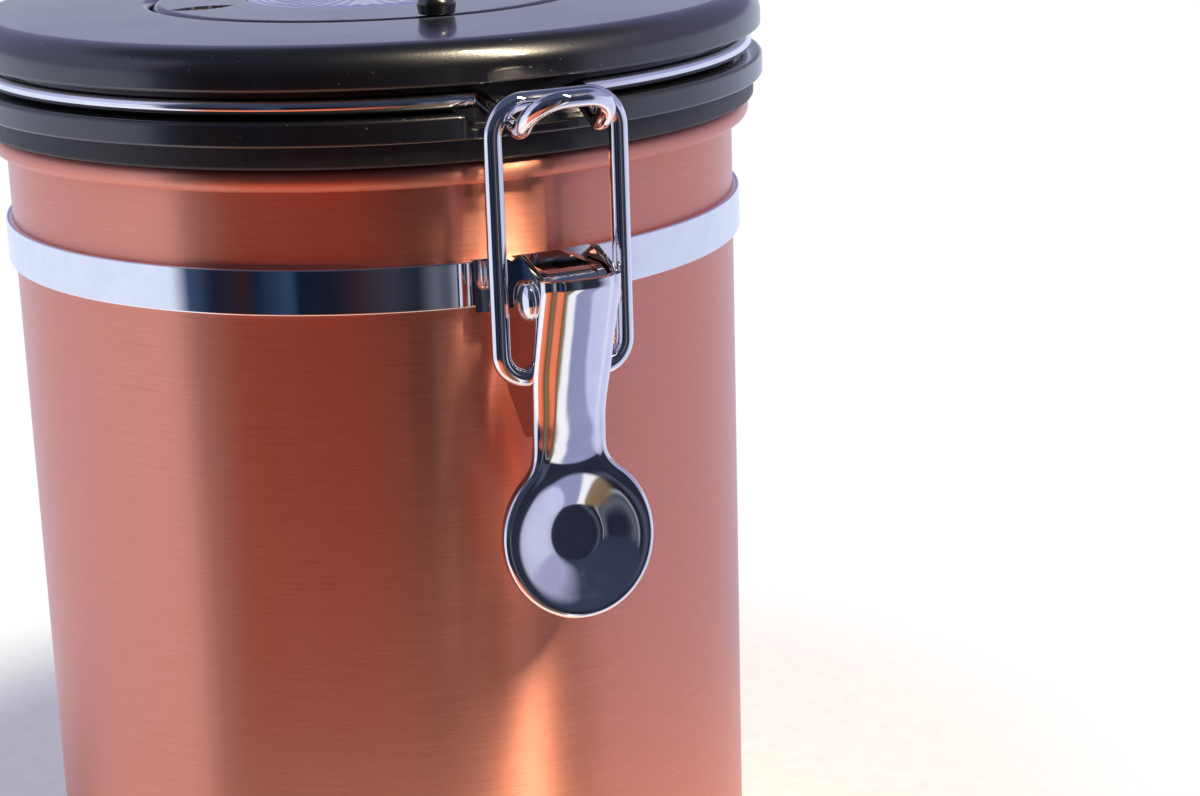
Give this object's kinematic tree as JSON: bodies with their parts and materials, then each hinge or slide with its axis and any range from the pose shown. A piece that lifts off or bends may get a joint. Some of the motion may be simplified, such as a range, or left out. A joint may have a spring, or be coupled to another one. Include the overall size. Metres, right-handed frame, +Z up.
{
  "type": "storage canister",
  "caption": "Round metal storage canister with a black moulded clamp lid, wire ring, date dial, over-centre wire latch and rear wire hinge.",
  "frame": {"origin": "centre of the standing plane, on the can's axis", "axes": "+Z up along the can's axis, -Y towards the latch, +Y towards the hinge"},
  "size_m": [0.1304, 0.1524, 0.1523],
  "materials": {
    "can": "copper-coloured brushed stainless steel, brushed round the can",
    "steel_inside": "plain stainless steel",
    "bright_steel": "mirror-bright plated steel",
    "lid_black": "high-gloss black",
    "seal_rubber": "satin black rubber",
    "screw_steel": "zinc plated",
    "dial_black": "high-gloss black",
    "badge_metal": "embossed bright foil",
    "spring_steel": "plain spring steel",
    "valve_plastic": "matte black",
    "valve_silicone": "translucent white silicone",
    "filter_cloth": "non-woven filter disc"
  },
  "bodies": {
    "canister": {"body_shell": "can", "base_disc": "steel_inside", "clamp_band": "bright_steel", "latch_bracket": "bright_steel", "pivot_rivet": "bright_steel", "hinge_bracket": "bright_steel"},
    "lid": {"lid_ring": "bright_steel", "lid_base": "lid_black", "lid_cover": "lid_black", "lid_gasket": "seal_rubber", "lid_screws": "screw_steel", "valve_body": "valve_plastic", "valve_cap": "valve_plastic", "valve_filter": "filter_cloth", "valve_grille": "valve_plastic"},
    "lever": {"latch_lever": "bright_steel"},
    "loop": {"latch_loop": "bright_steel"},
    "dial": {"date_dial": "dial_black", "dial_badge": "badge_metal", "dial_retainer": "spring_steel"},
    "flap": {"valve_flap": "valve_silicone"}
  },
  "joints": [
    {"name": "lid_hinge", "type": "hinge", "parent": "canister", "child": "lid", "pos_m": [0, 0.069, 0.123], "axis": [-1, 0, 0], "range_deg": [0, 100]},
    {"name": "latch_lever", "type": "hinge", "parent": "canister", "child": "lever", "pos_m": [0, -0.0728, 0.1122], "axis": [-1, 0, 0], "range_deg": [0, 100.5]},
    {"name": "latch_loop", "type": "hinge", "parent": "lever", "child": "loop", "pos_m": [0, -0.071, 0.1003], "axis": [1, 0, 0], "range_deg": [0, 130.5]},
    {"name": "dial_turn", "type": "hinge", "parent": "lid", "child": "dial", "pos_m": [0, 0, 0.147], "axis": [0, 0, 1], "continuous": true},
    {"name": "valve_lift", "type": "slide", "parent": "lid", "child": "flap", "axis": [0, 0, 1], "range_m": [0, 0.0008], "stiffness_N_per_m": 40}
  ],
  "couplings": [
    {"joint": "latch_lever", "follows": "lid_hinge", "ratio": 1},
    {"joint": "latch_loop", "follows": "lid_hinge", "ratio": 1.3}
  ]
}
